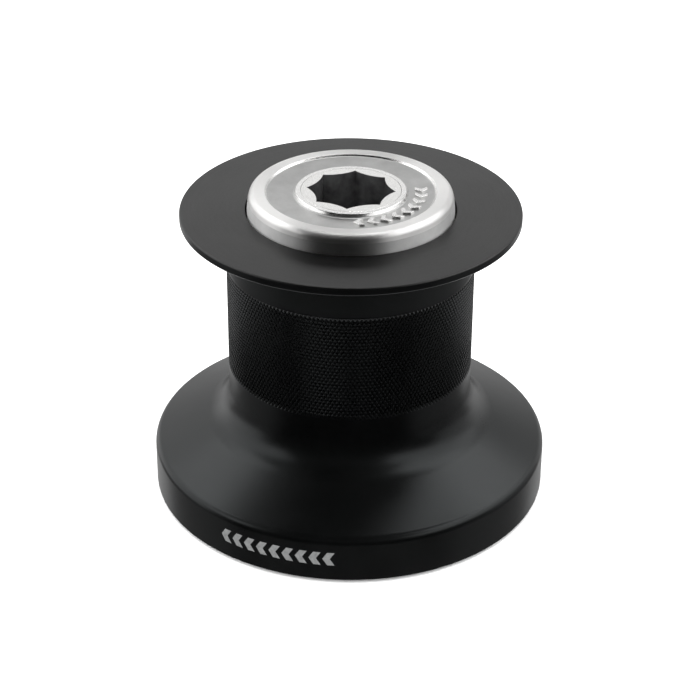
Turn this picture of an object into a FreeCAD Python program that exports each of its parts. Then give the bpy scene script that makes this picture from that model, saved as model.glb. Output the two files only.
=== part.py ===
import FreeCAD, Part
import math
import os

# Single-speed, plain-top sailboat winch. Millimetres, +Z up, Z = 0 on the deck,
# the drum's axis on the Z axis. A pull on the rope or handle turns the drum
# clockwise seen from above, which is a negative turn about +Z.

# ---- driving dimensions ----
DRUM_TOP = 88.0          # upper face of the rope flange
SKIRT_R = 58.0           # outside of the flared skirt
SKIRT_GAP = 0.85         # running gap between skirt and deck
SKIRT_CORNER_Z = 14.2    # where the skirt's upright rim would meet its cone
CONE_SLOPE = 25.0        # degrees above level
SKIRT_WALL = 3.5
WAIST_R = 35.6           # knurled rope drum
WAIST_FILLET = 12.0
FLANGE_R = 48.5
FLANGE_RIM = 2.3         # thickness of the flange at its edge
FLANGE_SLOPE = 8.0       # degrees, underside of the flange
WEB_R = 26.4             # opening in the web under the cap
HUB_WALL = 4.0           # around the lock ring
BORE_RELIEF = 1.0        # between the two bearing tracks

CAP_R = 29.4
CAP_TOP = 93.5
CAP_WALL_TOP = (29.1, 91.1)      # radius and height where the wall leans in more
CAP_RIM_R = 28.4         # edge of the cap's upper face
CAP_FLOOR_R = 24.3       # outside of the sunk ring around the hub
CAP_FLOOR_DEPTH = (1.0, 0.6)     # of the sunk ring at the hub and at its outside
HUB_R = 15.6
HUB_TOP = 93.6
HEAD_R = 14.2            # spindle head inside the cap
CAP_RECESS_R = 29.9      # recess in the drum for the cap
CAP_RECESS_FLOOR = 83.2
CAP_SPIGOT_R = 24.0      # the cap's lower part, through the drum's web
CAP_LIFT = 0.7           # the cap stands this much above the recess floor, on its washer
CHEVRONS = 9
CHEVRON_R = 19.8
CHEVRON_HEIGHT = 0.45
CHEVRON_ANGLES = (-78.5, 10.9)   # first, and from one to the next

SOCKET_TIP_R = 12.6      # standard eight-point handle socket, 17.46 mm square twice
SOCKET_VALLEY_R = 10.7
SOCKET_POINTS = 8
SOCKET_DEPTH = 35.0
DRAIN_R = 3.0

STEM_R = 24.0            # inner track of the roller bearings
LAND_R = 30.0            # outer track, inside the drum
ROLLER_R = (LAND_R - STEM_R) / 2
ROLLER_PITCH_R = STEM_R + ROLLER_R
ROLLER_PLAY = 0.03
ROLLER_LENGTH = 12.0
ROLLERS = 10             # in each bearing
LOWER_BEARING_Z = 20.2
UPPER_BEARING_Z = 50.2
CAGE_HEIGHT = 15.4
CAGE_WALL = (25.1, 29.4) # inner and outer radius

TEETH = 24               # in each ratchet ring
FIT = 0.05               # radial running clearance
WASHER_GAP = 0.1         # end play at each washer

PLATE_R = 54.3
PLATE_THICK = 6.0
DECK_BOLTS = 5
DECK_BOLT_PCD = 92.0
DECK_BOLT_R = 3.2
PLATE_BORE = 15.0
DRAIN_SIZE = (8.0, 1.2)  # width and depth of the channels under the plate
STEM_SCREW_R = 20.0      # pitch radius of the screws that hold the stem

STEM_FLANGE_R = 38.0
STEM_FOOT = 3.0          # underside of the stem's flange
STEM_FLANGE_TOP = 8.2
BOSS_R = 30.2            # boss that holds the lock pawls
BOSS_TOP = 19.0
STEM_TOP = 66.0
SHAFT_R = 10.5
BARREL_R = 17.0          # spindle around the socket
BUSH_WALL = 2.5
BUSH_FOOT = 7.0          # underside of the lower bush
CARRIER_R = 24.9
CARRIER_FOOT = 67.2
CARRIER_TOP = 80.0
CIRCLIP_Z = (4.2, 5.4)   # groove in the spindle's foot
CIRCLIP_DEPTH = 1.0
NECK_TOP = (46.0, 54.0)  # where the spindle's shaft widens to its barrel

LOCK_RING_Z = (9.4, 19.0)
DRIVE_RING_Z = (69.0, 81.0)
RING_PINS = 4            # keys between each ring and the drum
LOCK_PIN = dict(r=1.5, circle=35.4, z=(9.6, 23.6))
DRIVE_PIN = dict(r=1.25, circle=28.35, z=(75.2, 83.1))

# A ratchet: ring teeth, and a pawl whose heel turns in a round pocket.
# heel_r: radius at which the heel's centre sits; heel: the heel's own radius;
# reach: heel centre to nose; tip, root: the teeth's inner and outer radius;
# lean: degrees by which a tooth's steep face leans from radial.
LOCK = dict(heel_r=26.2, heel=2.7, reach=14.5, tip=31.0, root=33.2, outer=37.5, lean=34.0)
DRIVE = dict(heel_r=22.0, heel=2.4, reach=12.0, tip=26.0, root=28.0, outer=29.98, lean=36.0)
NOSE_PLAY = 0.3          # nose to tooth root, when engaged
TIP_PLAY = 0.12          # nose to tooth tips, when lifted
LOCK_PAWL_Z = (9.6, 18.7)
DRIVE_PAWL_Z = (69.6, 79.6)
POCKET_PLAY = 0.2        # above and below a pawl
PAWL_ANGLES = (0.0, 180.0)
FOLD = 6.0               # degrees a pawl can fold beyond clearing the teeth
WELL_DEPTH = 2.6         # pocket for a pawl's leaf spring
LEAF_THICK = 0.35
LEAF_WIDTH = 5.0

V = FreeCAD.Vector
ORIGIN = V(0, 0, 0)
UP = V(0, 0, 1)


# ---- shape helpers ----
def at(r, degrees, z=0.0):
    """The point at radius r and an angle about the winch's axis."""
    a = math.radians(degrees)
    return V(r * math.cos(a), r * math.sin(a), z)


def disc(r, z0, z1, centre=ORIGIN):
    """An upright cylinder from z0 to z1."""
    return Part.makeCylinder(r, z1 - z0, V(centre.x, centre.y, z0))


def ring(inner, outer, z0, z1):
    """A plain ring or sleeve about the winch's axis."""
    return disc(outer, z0, z1).cut(disc(inner, z0 - 1, z1 + 1))


def outline(corners):
    """A closed wire through corners (x, y, radius), each rounded by its radius with a tangent arc."""
    points = [V(c[0], c[1], 0) for c in corners]
    ends = []
    arcs = []
    for i, corner in enumerate(corners):
        p = points[i]
        back = (points[i - 1] - p).normalize()
        ahead = (points[(i + 1) % len(points)] - p).normalize()
        radius = corner[2] if len(corner) > 2 else 0.0
        if not radius:
            ends.append((p, p))
            arcs.append(None)
            continue
        half = back.getAngle(ahead) / 2
        run = radius / math.tan(half)
        start = p + back * run
        end = p + ahead * run
        middle = p + (back + ahead).normalize() * (radius / math.sin(half) - radius)
        ends.append((start, end))
        arcs.append(Part.Arc(start, middle, end).toShape())
    edges = []
    for i in range(len(corners)):
        if arcs[i]:
            edges.append(arcs[i])
        a = ends[i][1]
        b = ends[(i + 1) % len(ends)][0]
        if a.distanceToPoint(b) > 1e-6:
            edges.append(Part.makeLine(a, b))
    return Part.Wire(Part.__sortEdges__(edges))


def turned(corners):
    """A solid of revolution about Z from corners (r, z, radius)."""
    face = Part.Face(outline(corners))
    face.rotate(ORIGIN, V(1, 0, 0), 90)
    return face.revolve(ORIGIN, UP, 360)


def prism(corners, z0, z1):
    """An upright prism on an outline of corners (x, y, radius)."""
    face = Part.Face(outline(corners))
    face.translate(V(0, 0, z0))
    return face.extrude(V(0, 0, z1 - z0))


def placed(shape, degrees, centre=ORIGIN):
    """A copy of shape turned about an upright line through centre."""
    copy = shape.copy()
    copy.rotate(centre, UP, degrees)
    return copy


def around(shape, count, first=0.0):
    """Copies of shape, evenly spaced about the winch's axis."""
    return [placed(shape, first + i * 360.0 / count) for i in range(count)]


def cut_all(shape, tools):
    for tool in tools:
        shape = shape.cut(tool)
    return shape


def save(name, shape):
    if not shape.isValid():
        raise ValueError(name + " is not a valid shape")
    shape.exportStep("parts/" + name + ".step")


# ---- drum and its rings ----
def cone_z(r):
    """Height of the skirt's cone, extended, at radius r."""
    return SKIRT_CORNER_Z + (SKIRT_R - r) * math.tan(math.radians(CONE_SLOPE))


def drum():
    rim_low = DRUM_TOP - FLANGE_RIM
    root_z = rim_low - (FLANGE_R - WAIST_R) * math.tan(math.radians(FLANGE_SLOPE))
    inner_drop = SKIRT_WALL / math.cos(math.radians(CONE_SLOPE))
    skirt_in = SKIRT_R - SKIRT_WALL
    hub_out = LOCK["outer"] + HUB_WALL
    relief = LAND_R + BORE_RELIEF
    lower_land_top = LOWER_BEARING_Z + CAGE_HEIGHT
    upper_land_foot = UPPER_BEARING_Z - BORE_RELIEF
    body = turned([
        (skirt_in, SKIRT_GAP, 0.5),
        (SKIRT_R, SKIRT_GAP, 0.3),
        (SKIRT_R, SKIRT_CORNER_Z, 2.8),
        (WAIST_R, cone_z(WAIST_R), WAIST_FILLET),
        (WAIST_R, root_z, 3.5),
        (FLANGE_R, rim_low, 0.5),
        (FLANGE_R, DRUM_TOP, 0.5),
        (CAP_RECESS_R, DRUM_TOP, 0.25),
        (CAP_RECESS_R, CAP_RECESS_FLOOR),
        (WEB_R, CAP_RECESS_FLOOR),
        (WEB_R, DRIVE_RING_Z[1]),
        (LAND_R, DRIVE_RING_Z[1]),
        (LAND_R, upper_land_foot),
        (relief, upper_land_foot - BORE_RELIEF),
        (relief, lower_land_top + BORE_RELIEF),
        (LAND_R, lower_land_top),
        (LAND_R, LOCK_RING_Z[1]),
        (LOCK["outer"], LOCK_RING_Z[1]),
        (LOCK["outer"], LOCK_RING_Z[0]),
        (hub_out, LOCK_RING_Z[0], 0.5),
        (hub_out, cone_z(hub_out) - inner_drop, 2.0),
        (skirt_in, cone_z(skirt_in) - inner_drop, 2.0),
    ])
    return cut_all(body, lock_ring_pins() + drive_ring_pins())


def ratchet_ring(size, z0, z1, phase):
    """Internal teeth whose steep faces look anticlockwise. phase turns the whole ring."""
    pitch = 360.0 / TEETH
    height = size["root"] - size["tip"]
    lean = math.degrees(height * math.tan(math.radians(size["lean"])) / size["root"])
    land = math.degrees(0.5 / size["tip"])
    corners = []
    for i in range(TEETH):
        face = phase + i * pitch
        for r, angle in (
            (size["tip"], face - lean - land),
            (size["tip"], face - lean),
            (size["root"], face),
            (size["root"], face + land),
        ):
            p = at(r, angle)
            corners.append((p.x, p.y))
    return disc(size["outer"], z0, z1).cut(prism(corners, z0 - 1, z1 + 1))


def ring_pins(size, degrees):
    """Round keys that stop a ratchet ring from turning in the drum."""
    pin = disc(size["r"], *size["z"], at(size["circle"], 0))
    return around(pin, RING_PINS, degrees)


def lock_ring_pins():
    return ring_pins(LOCK_PIN, 45)


def drive_ring_pins():
    """These sit in the thick of a tooth."""
    return ring_pins(DRIVE_PIN, drive_phase() - 4.24)


# ---- pawls ----
def nose_angles(size, nose_r):
    """(degrees from the heel to a nose at nose_r, about the axis; the arm's direction for a heel at 0)."""
    a, b, c = size["heel_r"], nose_r, size["reach"]
    swing = math.acos((a * a + b * b - c * c) / (2 * a * b))
    x = b * math.cos(swing) - a
    y = -b * math.sin(swing)
    return -math.degrees(swing), math.degrees(math.atan2(y, x))


def engaged(size):
    return nose_angles(size, size["root"] - NOSE_PLAY)


def lifted(size):
    return nose_angles(size, size["tip"] - TIP_PLAY)


def lift(size):
    """Degrees that a pawl turns from engaged to clear of the teeth."""
    return engaged(size)[1] - lifted(size)[1]


def lock_phase():
    """The lock ring's turn, with a steep face just behind the engaged lock pawl's nose."""
    return engaged(LOCK)[0] - 0.55


def drive_phase():
    return engaged(DRIVE)[0] - 0.75


def arm_corners(size, grow):
    """The pawl's arm seen from above, from its heel at the origin along +X, ring side up."""
    heel, reach = size["heel"], size["reach"]
    return [
        (0.0, heel + grow),
        (reach * 0.45, heel * 0.66 + grow),
        (reach + grow, grow),
        (reach + grow, -0.62 * heel - grow),
        (reach - 0.5 * heel, -1.05 * heel - grow),
        (0.0, -heel - grow),
    ]


def pawl_at(size, z0, z1, direction, grow=0.0):
    """A pawl with its heel at angle 0, its arm turned to a direction in degrees."""
    arm = prism(arm_corners(size, grow), z0, z1)
    heel = disc(size["heel"] + grow, z0, z1)
    pawl = heel.fuse(arm).removeSplitter()
    pawl.rotate(ORIGIN, UP, direction)
    pawl.translate(V(size["heel_r"], 0, 0))
    return pawl


def folded_direction(size):
    return lifted(size)[1] - FOLD


def spring_site(size):
    """(middle of the leaf spring on the lifted pawl's back, direction of the arm there)."""
    direction = lifted(size)[1]
    along = size["reach"] * 0.52
    a = math.radians(direction)
    back = -(size["heel"] * 1.04)
    x = size["heel_r"] + along * math.cos(a) - back * math.sin(a)
    y = along * math.sin(a) + back * math.cos(a)
    return V(x, y, 0), direction


def pawl_pocket(size, z0, z1):
    """The space cut for one pawl and its spring, with the heel at angle 0."""
    play = 0.25
    steps = 4
    heel, reach = size["heel"], size["reach"]
    pocket = disc(heel + FIT, z0, z1, V(size["heel_r"], 0, 0))
    first, last = engaged(size)[1], folded_direction(size)
    arm = prism(arm_corners(size, play), z0, z1)
    for i in range(steps + 1):
        swung = placed(arm, first + (last - first) * i / steps)
        swung.translate(V(size["heel_r"], 0, 0))
        pocket = pocket.fuse(swung)
    place, direction = spring_site(size)
    width = reach * 0.52
    well = Part.makeBox(width, 3.2, z1 - z0, V(-width / 2, -WELL_DEPTH, z0))
    well.rotate(ORIGIN, UP, direction)
    well.translate(place)
    # the mouth is opened beside the heel, so that no feather edge stands there
    mouth = Part.makeBox(heel * 2, reach * 0.45, z1 - z0)
    mouth.translate(V(size["heel_r"] + heel * 0.5, -heel * 0.3 - reach * 0.45, z0))
    return pocket.fuse(well).fuse(mouth).removeSplitter()


def leaf_spring(size, z0, z1, out):
    """A bowed strip, its ends on the well's floor and its crown against a pawl's back.

    out: degrees that the pawl stands out beyond clearing the teeth.
    """
    place, direction = spring_site(size)
    half = size["reach"] * 0.23
    floor = 0.22 - WELL_DEPTH
    crown = -0.08 + size["reach"] * 0.52 * math.tan(math.radians(out)) * 0.94
    bow = crown - floor
    outer = (half * half + bow * bow) / (2 * bow)
    centre = V(0, crown - outer, 0)
    end = math.atan2(floor - centre.y, half)
    start = math.pi - end
    top = math.pi / 2
    rims = []
    for r in (outer, outer - LEAF_THICK):
        rims.append([centre + V(r * math.cos(a), r * math.sin(a), 0) for a in (start, top, end)])
    edges = [Part.Arc(*rim).toShape() for rim in rims]
    edges += [Part.makeLine(rims[0][i], rims[1][i]) for i in (0, 2)]
    face = Part.Face(Part.Wire(Part.__sortEdges__(edges)))
    face.translate(V(0, 0, (z0 + z1 - LEAF_WIDTH) / 2))
    strip = face.extrude(V(0, 0, LEAF_WIDTH))
    strip.rotate(ORIGIN, UP, direction)
    strip.translate(place)
    return strip


# ---- base ----
def base_plate():
    seat_r = STEM_FLANGE_R + FIT
    plate = turned([
        (PLATE_BORE, 0.0, 0.4),
        (PLATE_R, 0.0, 0.8),
        (PLATE_R, PLATE_THICK, 1.5),
        (seat_r, PLATE_THICK),
        (seat_r, STEM_FOOT),
        (PLATE_BORE, STEM_FOOT),
    ])
    sunk = 3.4
    sink = Part.makeCone(DECK_BOLT_R, DECK_BOLT_R + sunk, sunk, V(0, 0, PLATE_THICK - sunk))
    hole = disc(DECK_BOLT_R, -1, PLATE_THICK + 1).fuse(sink)
    hole.translate(at(DECK_BOLT_PCD / 2, 90))
    drain = Part.makeBox(PLATE_R, *DRAIN_SIZE, V(PLATE_BORE + 12, -DRAIN_SIZE[0] / 2, 0))
    drains = around(drain, DECK_BOLTS, 90 + 180.0 / DECK_BOLTS)
    return cut_all(plate, around(hole, DECK_BOLTS) + drains + stem_screws())


def stem_screw():
    head_r, shank_r, key_r = 4.6, 2.5, 1.45
    face_z, tip_z = 0.3, 14.0
    neck_z = face_z + head_r - shank_r
    head = Part.makeCone(head_r, shank_r, head_r - shank_r, V(0, 0, face_z))
    hexagon = [at(key_r, 60 * i) for i in range(6)]
    key = prism([(p.x, p.y) for p in hexagon], 0.0, 1.8)
    screw = head.fuse(disc(shank_r, neck_z, tip_z)).removeSplitter().cut(key)
    screw.translate(at(STEM_SCREW_R, 45))
    return screw


def stem_screws():
    return around(stem_screw(), 4)


def centre_stem():
    foot_r = SHAFT_R + BUSH_WALL
    throat = BARREL_R + BUSH_WALL
    foot_bore = PLATE_BORE - 0.5
    seat = BUSH_FOOT
    stem = turned([
        (foot_bore, STEM_FOOT, 0.3),
        (STEM_FLANGE_R, STEM_FOOT, 0.4),
        (STEM_FLANGE_R, STEM_FLANGE_TOP, 0.4),
        (BOSS_R, STEM_FLANGE_TOP),
        (BOSS_R, BOSS_TOP, 0.4),
        (STEM_R, BOSS_TOP),
        (STEM_R, STEM_TOP, 0.5),
        (throat, STEM_TOP),
        (throat, 30.0),
        (foot_r, 22.0),
        (foot_r, seat),
        (foot_bore, seat),
    ])
    pocket = pawl_pocket(LOCK, LOCK_PAWL_Z[0] - POCKET_PLAY, BOSS_TOP + 1)
    pockets = [placed(pocket, a) for a in PAWL_ANGLES]
    return cut_all(stem, pockets + stem_screws())


# ---- spindle ----
def star(z0, z1):
    """The eight-point socket: points at SOCKET_TIP_R, joined by arcs that bow inwards."""
    step = 360.0 / SOCKET_POINTS
    edges = []
    for i in range(SOCKET_POINTS):
        a = at(SOCKET_TIP_R, i * step, z0)
        m = at(SOCKET_VALLEY_R, (i + 0.5) * step, z0)
        b = at(SOCKET_TIP_R, (i + 1) * step, z0)
        edges.append(Part.Arc(a, m, b).toShape())
    return Part.Face(Part.Wire(edges)).extrude(V(0, 0, z1 - z0))


def main_spindle():
    foot = 3.3
    groove_r = SHAFT_R - CIRCLIP_DEPTH
    body = turned([
        (DRAIN_R, foot),
        (SHAFT_R, foot, 0.4),
        (SHAFT_R, CIRCLIP_Z[0]),
        (groove_r, CIRCLIP_Z[0]),
        (groove_r, CIRCLIP_Z[1]),
        (SHAFT_R, CIRCLIP_Z[1]),
        (SHAFT_R, NECK_TOP[0]),
        (BARREL_R, NECK_TOP[1]),
        (BARREL_R, CARRIER_FOOT),
        (CARRIER_R, CARRIER_FOOT, 0.4),
        (CARRIER_R, CARRIER_TOP, 0.4),
        (HEAD_R, CARRIER_TOP),
        (HEAD_R, HUB_TOP, 0.1),
        (DRAIN_R, HUB_TOP),
    ])
    pocket = pawl_pocket(DRIVE, DRIVE_PAWL_Z[0] - POCKET_PLAY, CARRIER_TOP + 1)
    pockets = [placed(pocket, a) for a in PAWL_ANGLES]
    socket = star(HUB_TOP - SOCKET_DEPTH, HUB_TOP + 1)
    return cut_all(body, pockets + [socket])


def chevron():
    """One raised arrowhead that points clockwise, the way the handle turns."""
    half = 1.75
    bar = 1.15
    tip = 1.5
    floor = CAP_TOP - sum(CAP_FLOOR_DEPTH) / 2
    corners = [
        (-half, bar),
        (0, bar - tip),
        (half, bar),
        (half, 0),
        (0, -tip),
        (-half, 0),
    ]
    mark = prism(corners, floor - 0.3, floor + CHEVRON_HEIGHT)
    mark.translate(V(CHEVRON_R, 0, 0))
    return mark


def top_cap():
    at_hub, at_rim = CAP_FLOOR_DEPTH
    bore = HEAD_R + FIT
    cap = turned([
        (bore, CARRIER_TOP + WASHER_GAP, 0.2),
        (CAP_SPIGOT_R, CARRIER_TOP + WASHER_GAP, 0.3),
        (CAP_SPIGOT_R, CAP_RECESS_FLOOR + CAP_LIFT),
        (CAP_R, CAP_RECESS_FLOOR + CAP_LIFT, 0.4),
        (CAP_R, DRUM_TOP),
        CAP_WALL_TOP,
        (CAP_RIM_R, CAP_TOP, 0.6),
        (CAP_FLOOR_R, CAP_TOP, 0.3),
        (CAP_FLOOR_R - 0.4, CAP_TOP - at_rim, 0.3),
        (HUB_R + 0.6, CAP_TOP - at_hub, 0.4),
        (HUB_R, HUB_TOP, 0.3),
        (bore, HUB_TOP, 0.08),
    ])
    first, step = CHEVRON_ANGLES
    for i in range(CHEVRONS):
        cap = cap.fuse(placed(chevron(), first + step * i))
    return cap.removeSplitter()


# ---- bearings ----
def roller(z0, degrees):
    middle = at(ROLLER_PITCH_R, degrees)
    length = ROLLER_LENGTH
    low = z0 + (CAGE_HEIGHT - length) / 2
    return disc(ROLLER_R - ROLLER_PLAY, low, low + length, middle)


def cage(z0, first):
    pocket_play = 0.12
    body = ring(*CAGE_WALL, z0, z0 + CAGE_HEIGHT)
    length = ROLLER_LENGTH + 2 * pocket_play
    low = z0 + (CAGE_HEIGHT - length) / 2
    pocket = disc(ROLLER_R + pocket_play, low, low + length, at(ROLLER_PITCH_R, 0))
    return cut_all(body, around(pocket, ROLLERS, first))


def circlip():
    clip = ring(SHAFT_R - CIRCLIP_DEPTH + FIT, SHAFT_R + 2.2, CIRCLIP_Z[0] + FIT, CIRCLIP_Z[1] - FIT)
    gap = Part.makeBox(8.0, 6.0, 3.0, V(SHAFT_R - 3.0, -3.0, CIRCLIP_Z[0] - 0.7))
    return clip.cut(gap)


# ---- write every piece ----
os.makedirs("parts", exist_ok=True)

save("base_plate", base_plate())
save("centre_stem", centre_stem())
save("stem_screws", Part.makeCompound(stem_screws()))
lower_bearing_top = LOWER_BEARING_Z + CAGE_HEIGHT
save("lower_spindle_bush", ring(SHAFT_R + FIT, SHAFT_R + BUSH_WALL, BUSH_FOOT, BUSH_FOOT + 14.0))
save("upper_spindle_bush", ring(BARREL_R + FIT, BARREL_R + BUSH_WALL, STEM_TOP - 10.5, STEM_TOP))
save("drum_thrust_washer", ring(BOSS_R + 1.0, LOCK["outer"] - 0.2, STEM_FLANGE_TOP,
                                LOCK_RING_Z[0] - WASHER_GAP))
save("lower_bearing_washer", ring(STEM_R + FIT, LAND_R - 0.2, BOSS_TOP, LOWER_BEARING_Z - WASHER_GAP))
save("bearing_spacer", ring(STEM_R + FIT, STEM_R + 2.4, lower_bearing_top + WASHER_GAP,
                            UPPER_BEARING_Z - WASHER_GAP))
save("spindle_thrust_washer", ring(BARREL_R + 0.2, LAND_R - 0.5, STEM_TOP, CARRIER_FOOT - WASHER_GAP))

save("drum", drum())
save("lock_ratchet_ring", cut_all(ratchet_ring(LOCK, *LOCK_RING_Z, lock_phase()), lock_ring_pins()))
save("drive_ratchet_ring", cut_all(ratchet_ring(DRIVE, *DRIVE_RING_Z, drive_phase()), drive_ring_pins()))
save("lock_ring_pins", Part.makeCompound(lock_ring_pins()))
save("drive_ring_pins", Part.makeCompound(drive_ring_pins()))

save("main_spindle", main_spindle())
save("top_cap", top_cap())
save("cap_washer", ring(WEB_R + 0.2, CAP_R + 0.3, CAP_RECESS_FLOOR,
                        CAP_RECESS_FLOOR + CAP_LIFT - WASHER_GAP))
save("spindle_washer", ring(SHAFT_R + FIT, SHAFT_R + 3.5, CIRCLIP_Z[1] + FIT, BUSH_FOOT - WASHER_GAP))
save("spindle_circlip", circlip())

for n, angle in enumerate(PAWL_ANGLES, 1):
    lock_pawl = pawl_at(LOCK, *LOCK_PAWL_Z, lifted(LOCK)[1])
    drive_pawl = pawl_at(DRIVE, *DRIVE_PAWL_Z, engaged(DRIVE)[1])
    save("lock_pawl_%d" % n, placed(lock_pawl, angle))
    save("drive_pawl_%d" % n, placed(drive_pawl, angle))
    save("lock_pawl_spring_%d" % n, placed(leaf_spring(LOCK, *LOCK_PAWL_Z, 0.0), angle))
    save("drive_pawl_spring_%d" % n, placed(leaf_spring(DRIVE, *DRIVE_PAWL_Z, lift(DRIVE)), angle))

HALF_STEP = 180.0 / ROLLERS
for side, z, first in (("lower", LOWER_BEARING_Z, 0.0), ("upper", UPPER_BEARING_Z, HALF_STEP)):
    save(side + "_bearing_cage", cage(z, first))
    for i in range(ROLLERS):
        save("%s_roller_%02d" % (side, i + 1), roller(z, first + i * 360.0 / ROLLERS))

print("lock pawl lift, degrees:", round(lift(LOCK), 3), "drive pawl lift:", round(lift(DRIVE), 3))
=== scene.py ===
import math

import bmesh
import bpy
from mathutils import Matrix, Vector


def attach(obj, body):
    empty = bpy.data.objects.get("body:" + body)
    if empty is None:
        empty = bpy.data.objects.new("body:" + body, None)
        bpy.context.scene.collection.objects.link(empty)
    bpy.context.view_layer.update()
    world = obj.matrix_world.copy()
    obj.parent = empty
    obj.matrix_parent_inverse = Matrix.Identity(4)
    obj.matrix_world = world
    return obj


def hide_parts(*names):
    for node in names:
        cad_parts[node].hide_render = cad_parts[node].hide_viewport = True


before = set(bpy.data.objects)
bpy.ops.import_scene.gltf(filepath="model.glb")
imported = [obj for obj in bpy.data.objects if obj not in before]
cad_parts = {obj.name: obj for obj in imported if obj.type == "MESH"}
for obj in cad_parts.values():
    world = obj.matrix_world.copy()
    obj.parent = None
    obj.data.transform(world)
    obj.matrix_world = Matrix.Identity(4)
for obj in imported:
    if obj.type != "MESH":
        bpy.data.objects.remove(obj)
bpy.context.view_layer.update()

# A plain-top, single-speed sailboat winch. Sizes below are in millimetres, in the row frame:
# +Z up, the drum's axis on Z, the deck at Z = 0. Meshes are made in metres.
MM = 0.001

# ---- drum ----
DRUM_TOP = 88.0
SKIRT_R = 57.98          # the printed marks stand out to the full 58
SKIRT_FOOT = 0.85
SKIRT_CORNER_Z = 14.2
CONE_SLOPE = 25.0
SKIRT_WALL = 3.5
WAIST_R = 35.6
FLANGE_R = 48.5
FLANGE_RIM = 2.3
FLANGE_SLOPE = 8.0
FLANGE_ROUND = 0.5       # of the flange's edges
LAND_R = 30.0            # outer track of the roller bearings
LAND_FOOT = 19.0
RELIEF_FOOT = 35.6       # bore relief between the two tracks
RELIEF_TOP = 49.2
RELIEF_DEPTH = 1.0
LOCK_RING_R = 37.5
LOCK_RING_FOOT = 9.4
HUB_WALL = 4.0           # around the lock ring
CAP_RECESS_R = 29.9      # recess in the drum for the cap
CAP_RECESS_FLOOR = 83.2
WEB_R = 26.4             # opening in the web under the cap
WEB_FOOT = 81.0

KNURL_COLUMNS = 366      # half diamonds around the drum
KNURL_ROWS = 31          # half diamonds up the drum
KNURL_FOOT = 39.4
KNURL_TOP = 71.65
KNURL_DEPTH = 0.3
KNURL_FLAT = 0.42        # share of a diamond left flat on top
KNURL_EDGE = 0.4         # plain strip that joins the knurl to the smooth drum

# ---- cap ----
CAP_R = 29.4
CAP_TOP = 93.5
CAP_WALL_TOP = (29.1, 91.1)      # radius and height; brushed below, turned above
CAP_RIM_R = 28.4
CAP_FLOOR_R = 24.3
CAP_FLOOR = (92.5, 92.9)         # sunk ring's height at the hub and at its outside
CAP_FLOOR_MID = 92.7
HUB_R = 15.6
HUB_TOP = 93.6
CAP_BORE = 14.25
CAP_SPIGOT_R = 24.0      # the cap's lower part, through the drum's web
CAP_SPIGOT_FOOT = 80.1
CAP_SEAT = 83.9
CAP_COLUMNS = 288
SOCKET_R = 12.7          # points of the handle socket
SOCKET_FLOOR = 58.6

MARKS = 9                # direction marks, on the cap and on the rim
CAP_MARK_R = 19.8
CAP_MARK_FIRST = -78.5
CAP_MARK_STEP = 10.9
CAP_MARK_HALF = 1.85     # half an arrowhead's width
CAP_MARK_BAR = 1.5       # an arm's width
CAP_MARK_TIP = 1.55      # how far the point stands ahead
CAP_MARK_FOOT = CAP_FLOOR_MID - 0.2      # below the sunk ring, so that no gap shows
CAP_MARK_TOP = CAP_FLOOR_MID + 0.6
CAP_MARK_TAPER = 0.97
CAP_MARK_BEVEL = 0.12
RIM_MARK_FIRST = -121.2
RIM_MARK_STEP = 3.86
RIM_MARK_Z = 7.95
RIM_MARK_HALF = 2.1
RIM_MARK_BAR = 2.1
RIM_MARK_TIP = 1.35
RIM_MARK_PROUD = 0.02    # the print's thickness on the rim


# ---- mesh building ----
class Shell:
    """Vertices, faces and corner normals of one piece, gathered in millimetres until build()."""

    def __init__(self):
        self.points = []
        self.faces = []
        self.normals = []
        self.kinds = []

    def point(self, r, degrees, z):
        a = math.radians(degrees)
        self.points.append((r * math.cos(a) * MM, r * math.sin(a) * MM, z * MM))
        return len(self.points) - 1

    def face(self, corners, normals=None, kind=0):
        """normals: one per corner, or None for a flat face."""
        self.faces.append(corners)
        self.normals.append(normals)
        self.kinds.append(kind)

    def build(self, name, materials):
        mesh = bpy.data.meshes.new(name)
        mesh.from_pydata(self.points, [], self.faces)
        for material in materials:
            mesh.materials.append(material)
        flat = Vector((0.0, 0.0, 0.0))
        loops = []
        for polygon, normals, kind in zip(mesh.polygons, self.normals, self.kinds):
            polygon.material_index = kind
            polygon.use_smooth = normals is not None
            loops.extend(normals or [flat] * polygon.loop_total)
        mesh.normals_split_custom_set(loops)
        mesh.validate()
        obj = bpy.data.objects.new(name, mesh)
        bpy.context.scene.collection.objects.link(obj)
        return obj


def rounded(corners, step=7.5):
    """Chords (start, end, normal at start, normal at end) of a closed outline of corners (r, z, radius).

    The outline runs anticlockwise, with r to the right and z up.
    """
    points = [Vector(c[:2]) for c in corners]
    runs = []
    for i, corner in enumerate(corners):
        p = points[i]
        radius = corner[2] if len(corner) > 2 else 0.0
        if not radius:
            runs.append([(p, None)])
            continue
        back = (points[i - 1] - p).normalized()
        ahead = (points[(i + 1) % len(points)] - p).normalized()
        half = back.angle(ahead) / 2
        spoke = back * (radius / math.tan(half))
        centre = p + (back + ahead).normalized() * (radius / math.sin(half))
        spoke = p + spoke - centre
        turn = math.copysign(1.0, ahead.x * back.y - ahead.y * back.x)
        sweep = math.pi - 2 * half
        count = max(2, math.ceil(math.degrees(sweep) / step))
        run = []
        for k in range(count + 1):
            out = Matrix.Rotation(turn * sweep * k / count, 2) @ spoke
            run.append((centre + out, out.normalized() * turn))
        runs.append(run)
    chords = []
    for i, run in enumerate(runs):
        for (a, na), (b, nb) in zip(run, run[1:]):
            chords.append((a, b, na, nb))
        a = run[-1][0]
        b = runs[(i + 1) % len(runs)][0][0]
        along = b - a
        if along.length > 1e-6:
            along.normalize()
            out = Vector((along.y, -along.x))
            chords.append((a, b, out, out))
    return chords


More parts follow.
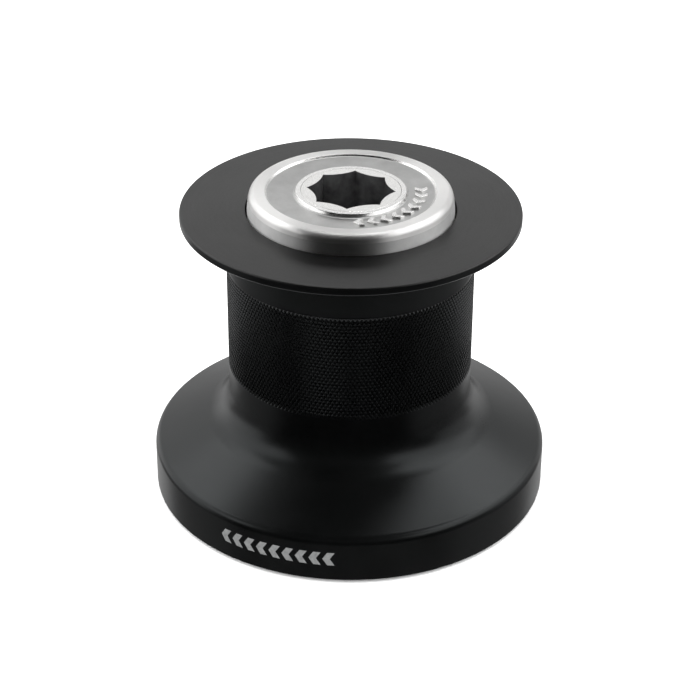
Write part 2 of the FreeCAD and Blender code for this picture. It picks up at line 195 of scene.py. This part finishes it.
def turned_normal(flat, degrees):
    a = math.radians(degrees)
    return Vector((flat.x * math.cos(a), flat.x * math.sin(a), flat.y))


def lathe(shell, chords, columns, kind_of=None, skip=None):
    """Turns chords about Z. Returns the vertex rings, one for each chord's start."""
    step = 360.0 / columns
    rings = []
    for a, b, na, nb in chords:
        rings.append([shell.point(a.x, k * step, a.y) for k in range(columns)])
    for i, (a, b, na, nb) in enumerate(chords):
        if skip and skip(a, b):
            continue
        low = rings[i]
        high = rings[(i + 1) % len(rings)]
        kind = kind_of(a, b) if kind_of else 0
        for k in range(columns):
            n = (k + 1) % columns
            shell.face(
                [low[k], low[n], high[n], high[k]],
                [turned_normal(na, k * step), turned_normal(na, (k + 1) * step),
                 turned_normal(nb, (k + 1) * step), turned_normal(nb, k * step)],
                kind,
            )
    return rings


# ---- materials ----
def node(tree, kind, inputs=None, **settings):
    """A shader node. inputs: socket name or number to a value or to another node's output."""
    made = tree.nodes.new("ShaderNode" + kind)
    for key, value in settings.items():
        setattr(made, key, value)
    for key, value in (inputs or {}).items():
        if isinstance(value, bpy.types.NodeSocket):
            tree.links.new(value, made.inputs[key])
        else:
            made.inputs[key].default_value = value
    return made


def spread(tree, value, low, high, from_low=0.0, from_high=1.0):
    """value, taken from one range to another."""
    made = node(tree, "MapRange", {0: value, 1: from_low, 2: from_high, 3: low, 4: high})
    return made.outputs[0]


def noise(tree, vector, scale, detail=3.0, rough=0.5):
    made = node(tree, "TexNoise", {"Vector": vector, "Scale": scale, "Detail": detail, "Roughness": rough})
    return made.outputs[0]


def tint(tree, share, first, second):
    made = node(tree, "Mix", {0: share, 6: (*first, 1.0), 7: (*second, 1.0)}, data_type="RGBA")
    return made.outputs[2]


def around_axis(tree, place, wander):
    """Coordinates that run round the axis: fine across the turning marks, long along them."""
    parts = node(tree, "SeparateXYZ", {0: place})
    flat = node(tree, "CombineXYZ", {0: parts.outputs[0], 1: parts.outputs[1], 2: 0.0})
    length = node(tree, "VectorMath", {0: flat.outputs[0]}, operation="LENGTH").outputs["Value"]
    angle = node(tree, "Math", {0: parts.outputs[1], 1: parts.outputs[0]}, operation="ARCTAN2").outputs[0]
    sine = node(tree, "Math", {0: angle}, operation="SINE").outputs[0]
    cosine = node(tree, "Math", {0: angle}, operation="COSINE").outputs[0]
    x = node(tree, "Math", {0: sine, 1: wander}, operation="MULTIPLY").outputs[0]
    y = node(tree, "Math", {0: cosine, 1: wander}, operation="MULTIPLY").outputs[0]
    total = node(tree, "Math", {0: length, 1: parts.outputs[2]}, operation="ADD").outputs[0]
    return node(tree, "CombineXYZ", {0: x, 1: y, 2: total}).outputs[0]


def surface(name, colours, roughness, metallic=0.0, mottle=60.0, grain=1800.0, grain_height=4e-6,
            turning=0.0, turning_scale=2600.0, pits=0.0, ior=1.5):
    """A worked metal or plastic.

    colours: two tints that drift into each other; roughness: (low, high);
    grain_height, turning and pits: the relief of the grain, turning marks and pits, in metres.
    """
    material = bpy.data.materials.new(name)
    material.use_nodes = True
    tree = material.node_tree
    shader = tree.nodes["Principled BSDF"]
    place = node(tree, "TexCoord").outputs["Object"]
    drift = noise(tree, place, mottle, 4.0, 0.6)
    fine = noise(tree, place, grain, 3.0, 0.6)
    share = spread(tree, drift, 0.0, 1.0, 0.3, 0.7)
    tree.links.new(tint(tree, share, *colours), shader.inputs["Base Color"])
    height = node(tree, "Math", {0: fine, 1: grain_height}, operation="MULTIPLY").outputs[0]
    worn = node(tree, "Math", {0: drift, 1: fine}, operation="ADD").outputs[0]
    if turning:
        rings = noise(tree, around_axis(tree, place, 0.002), turning_scale, 2.0, 0.6)
        cut = node(tree, "Math", {0: rings, 1: turning}, operation="MULTIPLY").outputs[0]
        height = node(tree, "Math", {0: height, 1: cut}, operation="ADD").outputs[0]
        worn = node(tree, "Math", {0: worn, 1: rings}, operation="ADD").outputs[0]
        rough = spread(tree, worn, *roughness, 0.9, 2.1)
    else:
        rough = spread(tree, worn, *roughness, 0.6, 1.4)
    if pits:
        cells = node(tree, "TexVoronoi", {"Vector": place, "Scale": 420.0}, feature="F1")
        rare = noise(tree, place, 130.0, 2.0, 0.5)
        edge = spread(tree, rare, 0.0, 0.22, 0.56, 0.72)
        deep = node(tree, "Math", {0: edge, 1: cells.outputs["Distance"]}, operation="SUBTRACT").outputs[0]
        pit = node(tree, "Math", {0: deep, 1: 0.0}, operation="MAXIMUM").outputs[0]
        sunk = node(tree, "Math", {0: pit, 1: -pits}, operation="MULTIPLY").outputs[0]
        height = node(tree, "Math", {0: height, 1: sunk}, operation="ADD").outputs[0]
    tree.links.new(rough, shader.inputs["Roughness"])
    shader.inputs["Metallic"].default_value = metallic
    shader.inputs["IOR"].default_value = ior
    bump = node(tree, "Bump", {"Strength": 1.0, "Distance": 1.0, "Height": height})
    tree.links.new(bump.outputs[0], shader.inputs["Normal"])
    return material


BLACK = surface(
    "anodised_black", ((0.0008, 0.0008, 0.0009), (0.0013, 0.0013, 0.0014)), (0.27, 0.35),
    grain=2200.0, grain_height=3.0e-6, ior=1.45)
BLACK_TURNED = surface(
    "anodised_black_turned", ((0.0009, 0.0009, 0.001), (0.0014, 0.0014, 0.0015)), (0.28, 0.4),
    grain=2200.0, grain_height=3.0e-6, turning=2.0e-6, ior=1.5)
BLACK_WAIST = surface(
    "anodised_black_waist", ((0.0009, 0.0009, 0.001), (0.0014, 0.0014, 0.0015)), (0.4, 0.5),
    grain=2200.0, grain_height=3.0e-6, turning=1.0e-6, ior=1.5)
PRINT = surface(
    "rim_print_paint", ((0.105, 0.108, 0.108), (0.15, 0.153, 0.153)), (0.5, 0.7), mottle=900.0)
POLISHED = surface(
    "cap_polished", ((0.80, 0.795, 0.785), (0.86, 0.855, 0.845)), (0.18, 0.3),
    metallic=1.0, grain=900.0, grain_height=2.0e-6, pits=6.0e-5)
TURNED = surface(
    "cap_turned", ((0.82, 0.815, 0.805), (0.9, 0.895, 0.885)), (0.34, 0.46),
    metallic=1.0, grain=900.0, grain_height=2.0e-6, turning=1.0e-6, pits=6.0e-5)
BRUSHED = surface(
    "cap_brushed", ((0.66, 0.66, 0.655), (0.76, 0.76, 0.755)), (0.5, 0.6),
    metallic=1.0, mottle=200.0, turning=6.0e-6)
SATIN = surface(
    "cap_satin", ((0.46, 0.46, 0.455), (0.58, 0.58, 0.575)), (0.32, 0.5),
    metallic=1.0, mottle=140.0, grain=1500.0, grain_height=1.6e-5)
BLACK_SHEEN = (0.93, 0.985, 1.0, 1.0)    # the anodising reflects a little cooler than the lamps


def turned_finish(material, amount):
    """Turning marks run round the cap, so it scatters light along its outline rather than sideways."""
    tree = material.node_tree
    shader = tree.nodes["Principled BSDF"]
    shader.inputs["Anisotropic"].default_value = amount
    shader.inputs["Anisotropic Rotation"].default_value = 0.25
    marks = node(tree, "Tangent", direction_type="RADIAL", axis="Z")
    tree.links.new(marks.outputs[0], shader.inputs["Tangent"])


for black in (BLACK, BLACK_WAIST):
    black.node_tree.nodes["Principled BSDF"].inputs["Specular Tint"].default_value = BLACK_SHEEN
turned_finish(BRUSHED, 0.9)
turned_finish(TURNED, 0.8)

# broached steel for the socket's walls: real broaching marks, with the colour darkened well below steel's
# as painted shade of the deep socket
BROACHED_PAINTED_SHADE = surface(
    "spindle_broached_painted_shade", ((0.08, 0.08, 0.082), (0.18, 0.18, 0.182)), (0.35, 0.5),
    metallic=0.8, mottle=260.0, grain=1200.0, grain_height=1.0e-5)

# by the CAD material's name
slot_materials = {
    "black_anodised": BLACK,
    "polished_cap": POLISHED,
    "cast_base": surface(
        "cast_base_finish", ((0.30, 0.30, 0.31), (0.42, 0.42, 0.43)), (0.45, 0.65),
        metallic=1.0, mottle=90.0, grain=900.0, grain_height=3.0e-5),
    "stem_alloy": surface(
        "stem_alloy_finish", ((0.50, 0.50, 0.52), (0.62, 0.62, 0.63)), (0.25, 0.42),
        metallic=1.0, turning=4.0e-6),
    "polished_spindle": surface(
        "polished_spindle_finish", ((0.74, 0.735, 0.72), (0.82, 0.815, 0.80)), (0.12, 0.28),
        metallic=1.0, grain_height=2.0e-6, turning=1.0e-6),
    "hard_steel": surface(
        "hard_steel_finish", ((0.28, 0.27, 0.26), (0.40, 0.39, 0.38)), (0.25, 0.45),
        metallic=1.0, mottle=200.0, grain=1600.0),
    "spring_steel": surface(
        "spring_steel_finish", ((0.16, 0.15, 0.18), (0.30, 0.27, 0.22)), (0.2, 0.35),
        metallic=1.0, mottle=300.0),
    "roller_steel": surface(
        "roller_steel_finish", ((0.66, 0.66, 0.67), (0.74, 0.74, 0.75)), (0.08, 0.2),
        metallic=1.0, grain_height=1.0e-6),
    "stainless": surface(
        "stainless_finish", ((0.58, 0.57, 0.55), (0.70, 0.69, 0.67)), (0.2, 0.38), metallic=1.0),
    "acetal": surface("acetal_finish", ((0.62, 0.61, 0.57), (0.74, 0.73, 0.69)), (0.35, 0.5)),
    "cage_nylon": surface(
        "cage_nylon_finish", ((0.03, 0.03, 0.034), (0.05, 0.05, 0.055)), (0.4, 0.6),
        grain_height=6.0e-6),
}


# ---- drum ----
def cone_z(r):
    return SKIRT_CORNER_Z + (SKIRT_R - r) * math.tan(math.radians(CONE_SLOPE))


def drum_outline():
    rim_low = DRUM_TOP - FLANGE_RIM
    root_z = rim_low - (FLANGE_R - WAIST_R) * math.tan(math.radians(FLANGE_SLOPE))
    inner_drop = SKIRT_WALL / math.cos(math.radians(CONE_SLOPE))
    skirt_in = SKIRT_R - SKIRT_WALL
    hub_out = LOCK_RING_R + HUB_WALL
    relief_r = LAND_R + RELIEF_DEPTH
    return rounded([
        (skirt_in, SKIRT_FOOT, 0.5),
        (SKIRT_R, SKIRT_FOOT, 0.3),
        (SKIRT_R, SKIRT_CORNER_Z, 2.8),
        (WAIST_R, cone_z(WAIST_R), 12.0),
        (WAIST_R, KNURL_FOOT - KNURL_EDGE),
        (WAIST_R, KNURL_TOP + KNURL_EDGE),
        (WAIST_R, root_z, 3.5),
        (FLANGE_R, rim_low, FLANGE_ROUND),
        (FLANGE_R, DRUM_TOP, FLANGE_ROUND),
        (CAP_RECESS_R, DRUM_TOP, 0.25),
        (CAP_RECESS_R, CAP_RECESS_FLOOR),
        (WEB_R, CAP_RECESS_FLOOR),
        (WEB_R, WEB_FOOT),
        (LAND_R, WEB_FOOT),
        (LAND_R, RELIEF_TOP),
        (relief_r, RELIEF_TOP - RELIEF_DEPTH),
        (relief_r, RELIEF_FOOT + RELIEF_DEPTH),
        (LAND_R, RELIEF_FOOT),
        (LAND_R, LAND_FOOT),
        (LOCK_RING_R, LAND_FOOT),
        (LOCK_RING_R, LOCK_RING_FOOT),
        (hub_out, LOCK_RING_FOOT, 0.5),
        (hub_out, cone_z(hub_out) - inner_drop, 2.0),
        (skirt_in, cone_z(skirt_in) - inner_drop, 2.0),
    ])


def knurl(shell, low_ring, high_ring):
    """Flat-topped diamonds between two vertex rings. Grooves cross where column + row is even."""
    step = 360.0 / KNURL_COLUMNS
    pitch = (KNURL_TOP - KNURL_FOOT) / KNURL_ROWS
    crossings = {}

    def corner(i, j):
        key = (i % KNURL_COLUMNS, j)
        if key not in crossings:
            r = WAIST_R if j in (0, KNURL_ROWS) else WAIST_R - KNURL_DEPTH
            crossings[key] = shell.point(r, key[0] * step, KNURL_FOOT + j * pitch)
        return crossings[key]

    def rim_normals(columns):
        return [turned_normal(Vector((1.0, 0.0)), c * step) for c in columns]

    for j in range(KNURL_ROWS + 1):
        for i in range((j + 1) % 2, KNURL_COLUMNS, 2):
            z = KNURL_FOOT + j * pitch
            east = shell.point(WAIST_R, (i + KNURL_FLAT) * step, z)
            west = shell.point(WAIST_R, (i - KNURL_FLAT) * step, z)
            top = [east, west]
            if j < KNURL_ROWS:
                north = shell.point(WAIST_R, i * step, z + KNURL_FLAT * pitch)
                shell.face([corner(i + 1, j), corner(i, j + 1), north, east])
                shell.face([corner(i, j + 1), corner(i - 1, j), west, north])
                top = [east, north, west]
            if j > 0:
                south = shell.point(WAIST_R, i * step, z - KNURL_FLAT * pitch)
                shell.face([corner(i - 1, j), corner(i, j - 1), south, west])
                shell.face([corner(i, j - 1), corner(i + 1, j), east, south])
                top.append(south)
            shell.face(top)
            edge = (i - 1, i - KNURL_FLAT, i + KNURL_FLAT, i + 1)
            if j == 0:
                ring = [low_ring[c % KNURL_COLUMNS] for c in (i - 1, i, i + 1)]
                shell.face(ring + [corner(i + 1, 0), east, west, corner(i - 1, 0)],
                           rim_normals((i - 1, i, i + 1) + edge[::-1]))
            if j == KNURL_ROWS:
                ring = [high_ring[c % KNURL_COLUMNS] for c in (i + 1, i, i - 1)]
                shell.face([corner(i - 1, j), west, east, corner(i + 1, j)] + ring,
                           rim_normals(edge + (i + 1, i, i - 1)))


def make_drum():
    shell = Shell()
    chords = drum_outline()

    def is_knurled(a, b):
        return (a - Vector((WAIST_R, KNURL_FOOT - KNURL_EDGE))).length < 1e-4

    def is_flange(a, b):
        return a.y > DRUM_TOP - 0.6 and b.y > DRUM_TOP - 0.6

    def is_collar(a, b):
        return abs(a.x - WAIST_R) < 0.3 and abs(b.x - WAIST_R) < 0.3 and min(a.y, b.y) > KNURL_TOP

    def finish_of(a, b):
        if is_flange(a, b):
            return 1
        return 2 if is_collar(a, b) else 0

    rings = lathe(shell, chords, KNURL_COLUMNS, finish_of, is_knurled)
    at = [i for i, (a, b, na, nb) in enumerate(chords) if is_knurled(a, b)][0]
    knurl(shell, rings[at], rings[(at + 1) % len(rings)])
    return shell.build("rope_drum", [BLACK, BLACK_TURNED, BLACK_WAIST])


drum = make_drum()
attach(drum, "drum")
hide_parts("drum")


# ---- cap ----
def make_cap():
    shell = Shell()
    chords = rounded([
        (CAP_BORE, CAP_SPIGOT_FOOT, 0.2),
        (CAP_SPIGOT_R, CAP_SPIGOT_FOOT, 0.3),
        (CAP_SPIGOT_R, CAP_SEAT),
        (CAP_R, CAP_SEAT, 0.4),
        (CAP_R, DRUM_TOP),
        CAP_WALL_TOP,
        (CAP_RIM_R + 0.1, CAP_TOP, 1.9),
        (CAP_FLOOR_R + 0.1, CAP_TOP, 0.6),
        (CAP_FLOOR_R - 0.7, CAP_FLOOR[1], 0.8),
        (HUB_R + 0.6, CAP_FLOOR[0], 0.5),
        (HUB_R, HUB_TOP, 0.4),
        (CAP_BORE, HUB_TOP, 0.03),
    ])

    def finish_of(a, b):
        if max(a.y, b.y) < CAP_WALL_TOP[1] + 0.01:
            return 2
        if min(a.x, b.x) > CAP_FLOOR_R - 0.1:
            return 3
        sunk = max(a.y, b.y) < CAP_TOP - 0.25 and HUB_R < a.x < CAP_FLOOR_R
        return 1 if sunk else 0

    lathe(shell, chords, CAP_COLUMNS, finish_of)
    return shell.build("winch_cap", [POLISHED, SATIN, BRUSHED, TURNED])


cap = make_cap()
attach(cap, "spindle")
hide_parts("top_cap")


def chevron_outline(half, bar, tip):
    """Corners of an arrowhead that points to -y, half wide either way in x."""
    return [(-half, bar), (-half, 0.0), (0.0, -tip), (half, 0.0), (half, bar), (0.0, bar - tip)]


def make_cap_marks():
    """Raised arrowheads that point clockwise, the way the handle turns."""
    mesh = bpy.data.meshes.new("cap_arrowheads")
    work = bmesh.new()
    outline = chevron_outline(CAP_MARK_HALF, CAP_MARK_BAR, CAP_MARK_TIP)
    for i in range(MARKS):
        turn = Matrix.Rotation(math.radians(CAP_MARK_FIRST + CAP_MARK_STEP * i), 3, "Z")

        def vertex(x, y, z):
            return work.verts.new(turn @ Vector((CAP_MARK_R + x, y, z)) * MM)

        low = [vertex(x, y, CAP_MARK_FOOT) for x, y in outline]
        high = [vertex(x * CAP_MARK_TAPER, y, CAP_MARK_TOP) for x, y in outline]
        work.faces.new(high)
        work.faces.new(low[::-1])
        for a in range(len(outline)):
            b = (a + 1) % len(outline)
            work.faces.new([low[a], low[b], high[b], high[a]])
    upper = [e for e in work.edges if min(v.co.z for v in e.verts) > (CAP_FLOOR_MID + 0.3) * MM]
    upright = [e for e in work.edges if abs(e.verts[0].co.z - e.verts[1].co.z) > 0.3 * MM]
    bmesh.ops.bevel(work, geom=upper + upright, offset=CAP_MARK_BEVEL * MM,
                    segments=3, profile=0.5, affect="EDGES")
    bmesh.ops.recalc_face_normals(work, faces=work.faces)
    work.to_mesh(mesh)
    work.free()
    for polygon in mesh.polygons:
        polygon.use_smooth = True
    mesh.set_sharp_from_angle(angle=math.radians(40))
    mesh.materials.append(POLISHED)
    obj = bpy.data.objects.new("cap_arrowheads", mesh)
    bpy.context.scene.collection.objects.link(obj)
    weigh(obj)
    return obj


def weigh(obj):
    """Keeps wide faces flat-shaded beside small bevels."""
    modifier = obj.modifiers.new("weighted", "WEIGHTED_NORMAL")
    modifier.keep_sharp = True
    modifier.weight = 80


cap_marks = make_cap_marks()
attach(cap_marks, "spindle")


# ---- printed marks on the skirt's rim ----
def make_rim_marks():
    """Thin printed arrowheads wrapped on the rim, that point the way the drum turns."""
    shell = Shell()
    inner, outer = SKIRT_R - 0.1, SKIRT_R + RIM_MARK_PROUD
    cells = 6
    for m in range(MARKS):
        middle = RIM_MARK_FIRST + RIM_MARK_STEP * m
        rows = []
        for k in range(-cells, cells + 1):
            share = k / cells
            nose = -RIM_MARK_TIP * (1 - abs(share))
            z = RIM_MARK_Z + share * RIM_MARK_HALF
            row = []
            for r in (inner, outer):
                for side in (-1, 1):
                    x = nose + side * RIM_MARK_BAR / 2 + RIM_MARK_TIP / 2
                    row.append(shell.point(r, middle + math.degrees(x / SKIRT_R), z))
            rows.append(row)
        for a, b in zip(rows, rows[1:]):
            shell.face([a[2], a[3], b[3], b[2]])
            shell.face([a[1], a[0], b[0], b[1]])
            shell.face([a[0], a[2], b[2], b[0]])
            shell.face([a[3], a[1], b[1], b[3]])
        first, last = rows[0], rows[-1]
        shell.face([first[0], first[1], first[3], first[2]])
        shell.face([last[1], last[0], last[2], last[3]])
    return shell.build("rim_print", [PRINT])


rim_marks = make_rim_marks()
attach(rim_marks, "drum")

# ---- finishes of the pieces that keep their CAD shape ----
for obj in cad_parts.values():
    if obj.hide_render:
        continue
    slot = obj.data.materials[0].name.split(".")[0]
    obj.data.materials.clear()
    obj.data.materials.append(slot_materials[slot])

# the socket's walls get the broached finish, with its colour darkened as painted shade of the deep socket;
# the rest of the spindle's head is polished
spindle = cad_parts["main_spindle"].data
spindle.materials.append(BROACHED_PAINTED_SHADE)
for polygon in spindle.polygons:
    middle = polygon.center
    inside = math.hypot(middle.x, middle.y) < SOCKET_R * MM and middle.z > SOCKET_FLOOR * MM
    if inside and abs(polygon.normal.z) < 0.5:
        polygon.material_index = 1


# ---- studio ----
FLOOR_DROP = 0.0001      # metres below the deck, so that the base plate's underside doesn't flicker


def make_floor():
    mesh = bpy.data.meshes.new("studio_floor")
    work = bmesh.new()
    bmesh.ops.create_grid(work, x_segments=8, y_segments=8, size=3.0)
    work.to_mesh(mesh)
    work.free()
    obj = bpy.data.objects.new("studio_floor", mesh)
    bpy.context.scene.collection.objects.link(obj)
    material = bpy.data.materials.new("studio_floor")
    material.use_nodes = True
    shader = material.node_tree.nodes["Principled BSDF"]
    shader.inputs["Base Color"].default_value = (0.9, 0.9, 0.9, 1.0)
    shader.inputs["Roughness"].default_value = 0.9
    shader.inputs["Specular IOR Level"].default_value = 0.0
    mesh.materials.append(material)
    obj.location.z = -FLOOR_DROP
    return obj


floor = make_floor()
floor.visible_glossy = False
floor.visible_shadow = False

# the camera that fits the photograph's outline; metres, degrees and pixels
LOOK_AT = Vector((0.0, 0.0, 0.051))
CAMERA_AZIMUTH = 5.2
CAMERA_ELEVATION = 29.283
CAMERA_ROLL = 0.392
CAMERA_DISTANCE = 0.57325
PICTURE = 700.0
FOCAL_LENGTH = 1965.5
SHIFT = (-0.17, -28.39)
SENSOR = 36.0            # mm
LAMP_DISTANCE = 2.0
WORLD_STRENGTH = 2.4


def direction(azimuth, elevation):
    """The way from the winch towards a lamp or the camera. Azimuth 0 is -Y, 90 is +X."""
    a, e = math.radians(azimuth), math.radians(elevation)
    return Vector((math.sin(a) * math.cos(e), -math.cos(a) * math.cos(e), math.sin(e)))


def softbox(name, azimuth, elevation, across, upright, radiance):
    """A rectangular lamp that faces the winch; across and upright are in degrees seen from the winch."""
    width = 2 * LAMP_DISTANCE * math.tan(math.radians(across / 2))
    height = 2 * LAMP_DISTANCE * math.tan(math.radians(upright / 2))
    data = bpy.data.lights.new(name, "AREA")
    data.shape = "RECTANGLE"
    data.size = width
    data.size_y = height
    data.energy = radiance * math.pi * width * height
    obj = bpy.data.objects.new(name, data)
    away = direction(azimuth + CAMERA_AZIMUTH, elevation)
    obj.location = LOOK_AT + away * LAMP_DISTANCE
    obj.rotation_mode = "QUATERNION"
    obj.rotation_quaternion = away.to_track_quat("Z", "Y")
    obj.visible_camera = False
    obj.visible_diffuse = False
    bpy.context.scene.collection.objects.link(obj)


def bank(name, azimuths, elevations, radiance):
    """A row of softboxes side by side, curved round the winch. Azimuths are from the camera's own."""
    count = math.ceil((azimuths[1] - azimuths[0]) / 36)
    share = (azimuths[1] - azimuths[0]) / count
    middle = sum(elevations) / 2
    for k in range(count):
        softbox("%s_%d" % (name, k + 1), azimuths[0] + share * (k + 0.5), middle,
                share * math.cos(math.radians(middle)), elevations[1] - elevations[0], radiance)


# name, azimuths, elevations, radiance; fitted to the brightness of the photograph's zones
bank("back_low", (150, 215), (-12, 12), 0.7)
bank("back_mid", (160, 235), (12, 34), 1.04)
bank("right_back_mid", (125, 160), (12, 34), 0.6)
bank("back_deep", (130, 230), (-58, -12), 0.7)
bank("back_top", (145, 215), (56, 79), 2.4)
bank("right_back_top", (110, 145), (56, 79), 2.7)
bank("right_high", (50, 90), (34, 56), 2.0)
bank("right_back_high", (90, 150), (34, 56), 2.3)
bank("left_back_high", (200, 270), (34, 56), 2.2)
bank("left_high", (270, 305), (34, 56), 0.2)
bank("right_mid", (35, 125), (12, 34), 1.4)
bank("left_mid", (235, 305), (12, 34), 1.4)
bank("right_low", (80, 125), (-12, 12), 0.5)
bank("left_low", (235, 280), (-12, 12), 1.1)
bank("right_deep", (60, 130), (-58, -12), 0.2)
bank("left_deep", (230, 290), (-58, -12), 0.2)
bank("right_back_low", (125, 150), (-12, 12), 0.8)
bank("left_back_low", (215, 235), (-12, 12), 1.3)
softbox("below", 0, -90, 68, 68, 1.6)
bank("front_mid", (-35, 35), (12, 34), 0.05)

world = bpy.data.worlds.new("studio")
world.use_nodes = True
world.node_tree.nodes["Background"].inputs[0].default_value = (1.0, 1.0, 1.0, 1.0)
world.node_tree.nodes["Background"].inputs[1].default_value = WORLD_STRENGTH
world.cycles_visibility.glossy = False
bpy.context.scene.world = world
bpy.context.scene.view_settings.view_transform = "Standard"

camera_data = bpy.data.cameras.new("camera")
camera_data.sensor_width = SENSOR
camera_data.lens = FOCAL_LENGTH / PICTURE * SENSOR
camera_data.shift_x = SHIFT[0] / PICTURE
camera_data.shift_y = SHIFT[1] / PICTURE
camera_data.clip_start = 0.02
camera_data.clip_end = 20.0
camera = bpy.data.objects.new("camera", camera_data)
back = direction(CAMERA_AZIMUTH, CAMERA_ELEVATION)
camera.location = LOOK_AT + back * CAMERA_DISTANCE
camera.rotation_mode = "QUATERNION"
roll = Matrix.Rotation(math.radians(CAMERA_ROLL), 3, "Z").to_quaternion()
camera.rotation_quaternion = back.to_track_quat("Z", "Y") @ roll
bpy.context.scene.collection.objects.link(camera)
bpy.context.scene.camera = camera
